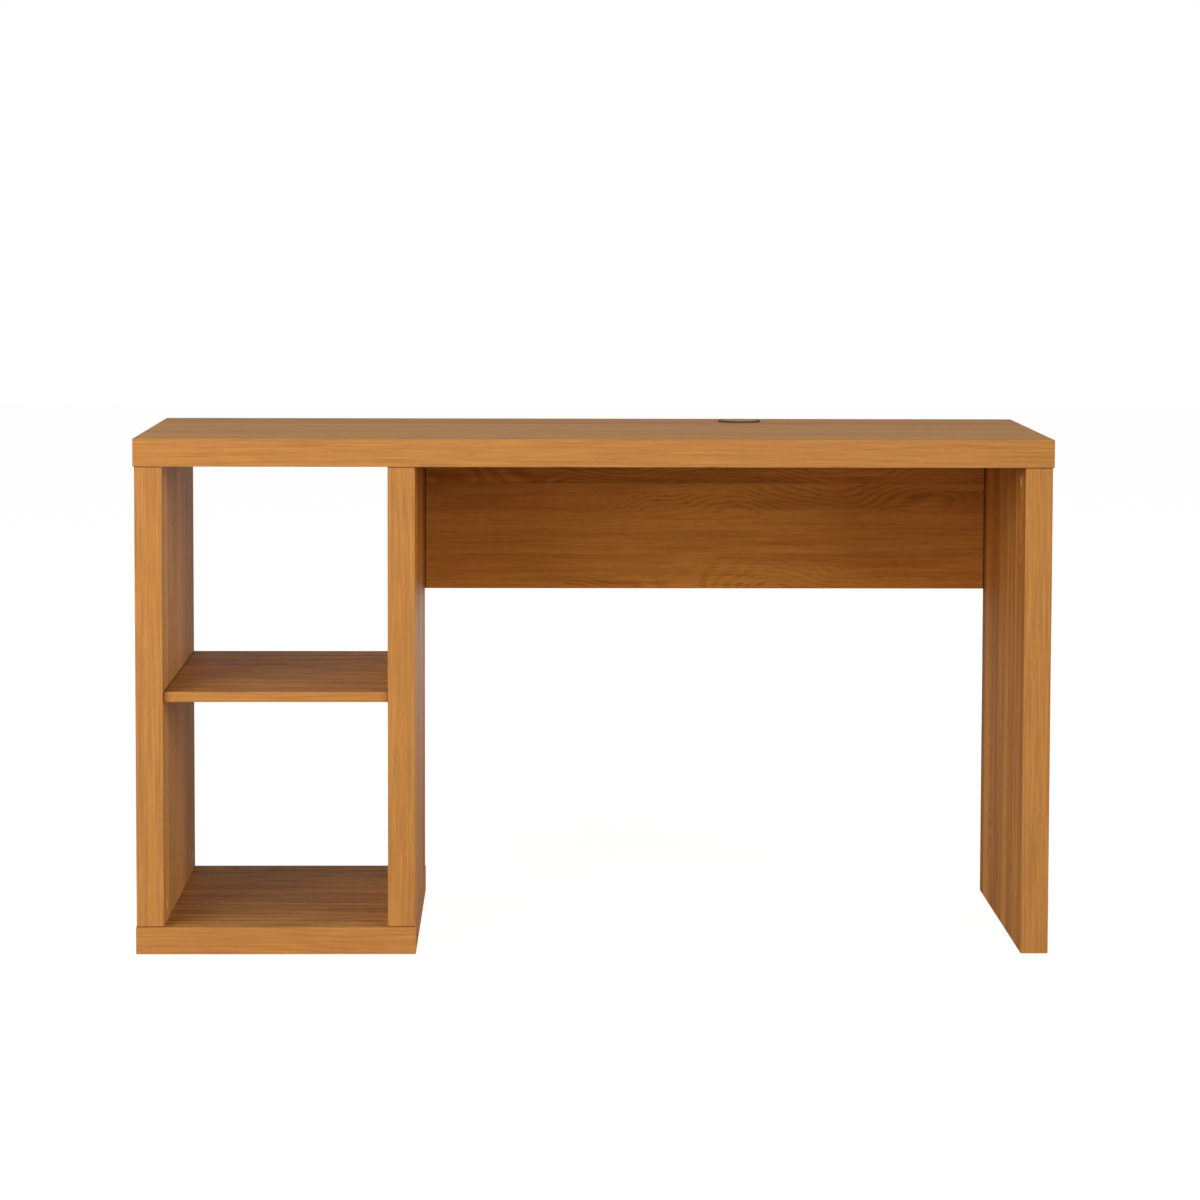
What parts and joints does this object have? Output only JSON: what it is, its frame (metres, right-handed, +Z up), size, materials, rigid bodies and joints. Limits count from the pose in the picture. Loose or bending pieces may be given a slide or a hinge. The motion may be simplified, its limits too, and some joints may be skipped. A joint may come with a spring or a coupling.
{
  "type": "office desk",
  "caption": "Office desk: thick wood-decor top on an open shelf unit and a slab leg, with a modesty panel at the back and a cable grommet with lift-out lid and shutter.",
  "frame": {"origin": "on the floor under the middle of the desk, the bottom centre of its box", "axes": "+X along the desk's width to the user's right, +Y from the front to the back, +Z up"},
  "size_m": [1.35, 0.5, 0.7678],
  "materials": {
    "wood_decor": "satin wood-decor foil, honey oak",
    "edge_band": "satin edge band, printed honey oak",
    "core_board": "raw particle board",
    "cam_metal": "die-cast, tumbled",
    "bolt_steel": "zinc plated",
    "dowel_wood": "raw beech",
    "cover_plastic": "satin moulded, honey beige",
    "glide_plastic": "satin moulded, brown",
    "grommet_liner_plastic": "satin moulded, dark brown",
    "grommet_lid_plastic": "satin moulded, brown"
  },
  "bodies": {
    "desk": {"base_back_stile": "core_board", "base_batten": "core_board", "base_edge_bands": "edge_band", "base_end_bands": "edge_band", "base_front_stile": "core_board", "base_left_rail": "core_board", "base_lower_skin": "wood_decor", "base_right_rail": "core_board", "base_upper_skin": "wood_decor", "board_cam_locks": "cam_metal", "cam_bolts": "bolt_steel", "cam_covers": "cover_plastic", "divider_back_stile": "core_board", "divider_batten": "core_board", "divider_bottom_rail": "core_board", "divider_edge_bands": "edge_band", "divider_front_stile": "core_board", "divider_left_skin": "wood_decor", "divider_right_skin": "wood_decor", "divider_top_rail": "core_board", "dowels": "dowel_wood", "glide_nails": "bolt_steel", "glides": "glide_plastic", "grommet_liner": "grommet_liner_plastic", "left_side_back_stile": "core_board", "left_side_batten": "core_board", "left_side_bottom_rail": "core_board", "left_side_edge_bands": "edge_band", "left_side_front_stile": "core_board", "left_side_inner_skin": "wood_decor", "left_side_outer_skin": "wood_decor", "left_side_top_rail": "core_board", "modesty_board": "wood_decor", "modesty_edge_band": "edge_band", "panel_cam_locks": "cam_metal", "right_leg_back_stile": "core_board", "right_leg_batten": "core_board", "right_leg_bottom_rail": "core_board", "right_leg_edge_bands": "edge_band", "right_leg_front_stile": "core_board", "right_leg_inner_skin": "wood_decor", "right_leg_outer_skin": "wood_decor", "right_leg_top_rail": "core_board", "shelf_board": "wood_decor", "shelf_edge_bands": "edge_band", "top_back_stile": "core_board", "top_battens": "core_board", "top_edge_bands": "edge_band", "top_end_bands": "edge_band", "top_front_stile": "core_board", "top_grommet_block": "core_board", "top_left_rail": "core_board", "top_lower_skin": "wood_decor", "top_right_rail": "core_board", "top_upper_skin": "wood_decor"},
    "grommet_lid": {"grommet_lid": "grommet_lid_plastic"},
    "grommet_shutter": {"grommet_shutter": "grommet_lid_plastic"}
  },
  "joints": [
    {"name": "lid_lift", "type": "slide", "parent": "desk", "child": "grommet_lid", "axis": [0, 0, 1], "range_m": [0, 0.1]},
    {"name": "shutter_turn", "type": "hinge", "parent": "grommet_lid", "child": "grommet_shutter", "pos_m": [0.235, 0.174, 0.765], "axis": [0, 0, -1], "range_deg": [0, 39]}
  ]
}
